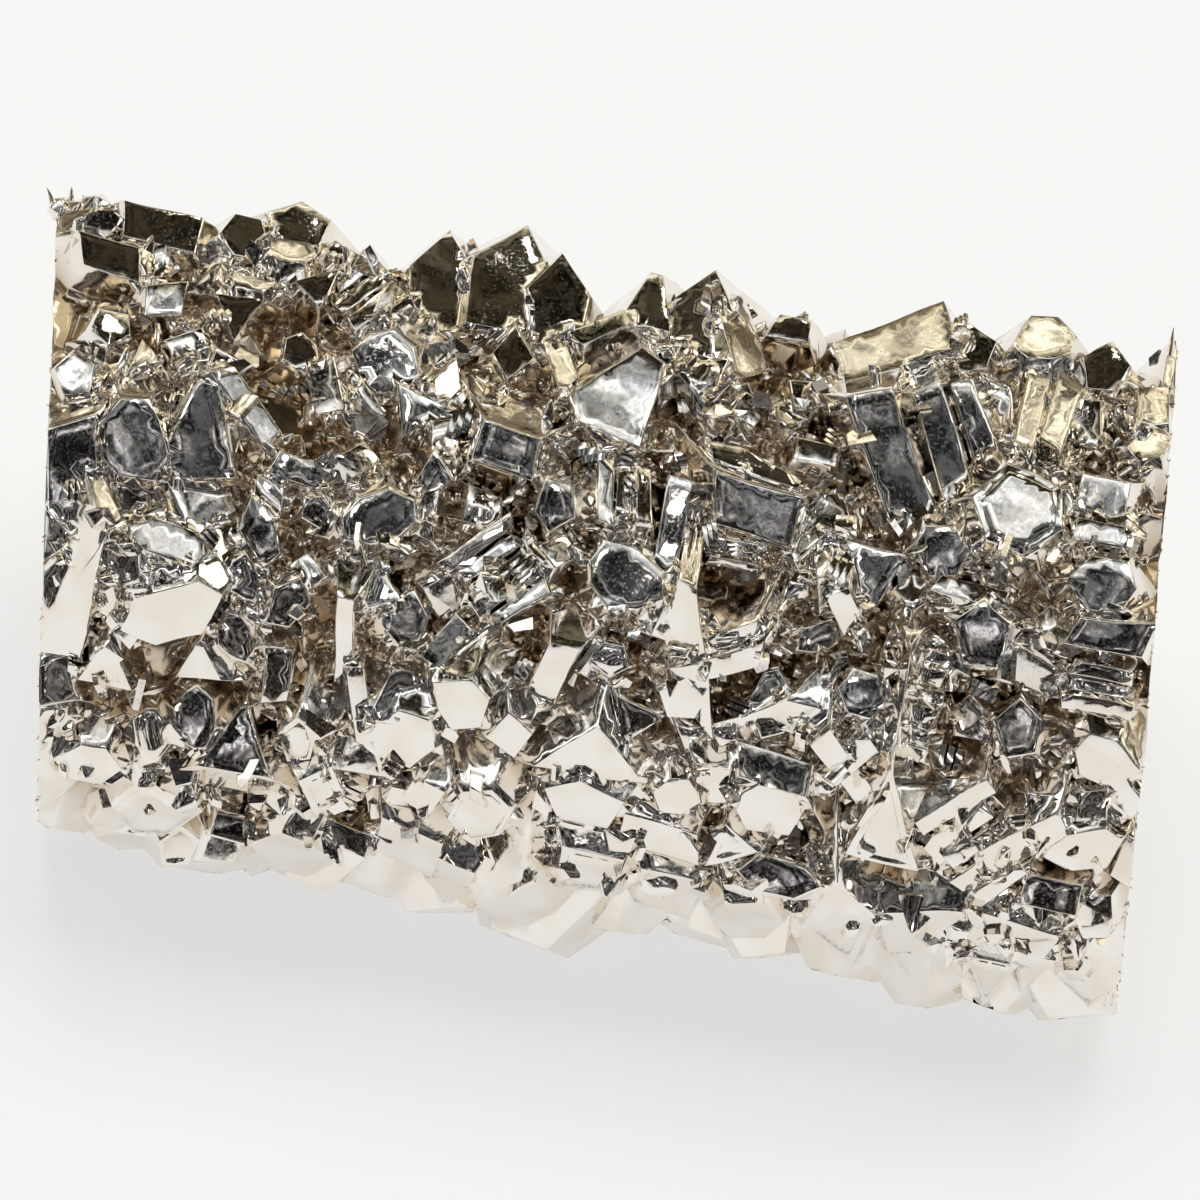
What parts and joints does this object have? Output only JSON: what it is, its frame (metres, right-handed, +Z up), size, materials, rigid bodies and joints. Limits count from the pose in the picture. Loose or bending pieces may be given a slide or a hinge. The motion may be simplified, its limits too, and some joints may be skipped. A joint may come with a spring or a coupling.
{
  "type": "titanium crystal bar",
  "caption": "Short sawn length of titanium crystal bar: one solid mass of intergrown blocky crystals with mirror-flat faces, lying on its side.",
  "frame": {"origin": "centre of the bounding box in X and Y, at the height of the level crystal faces that the bar rests on", "axes": "+X along the bar, from the end with the torn lip to the other sawn end; +Z up; -Y towards the viewer's side"},
  "size_m": [0.0506, 0.0296, 0.0294],
  "materials": {
    "titanium": "bright warm-grey titanium, mirror-flat crystal faces, browner crevices, satin sawn ends"
  },
  "bodies": {
    "root": {"crystal_bar": "titanium"}
  },
  "joints": []
}
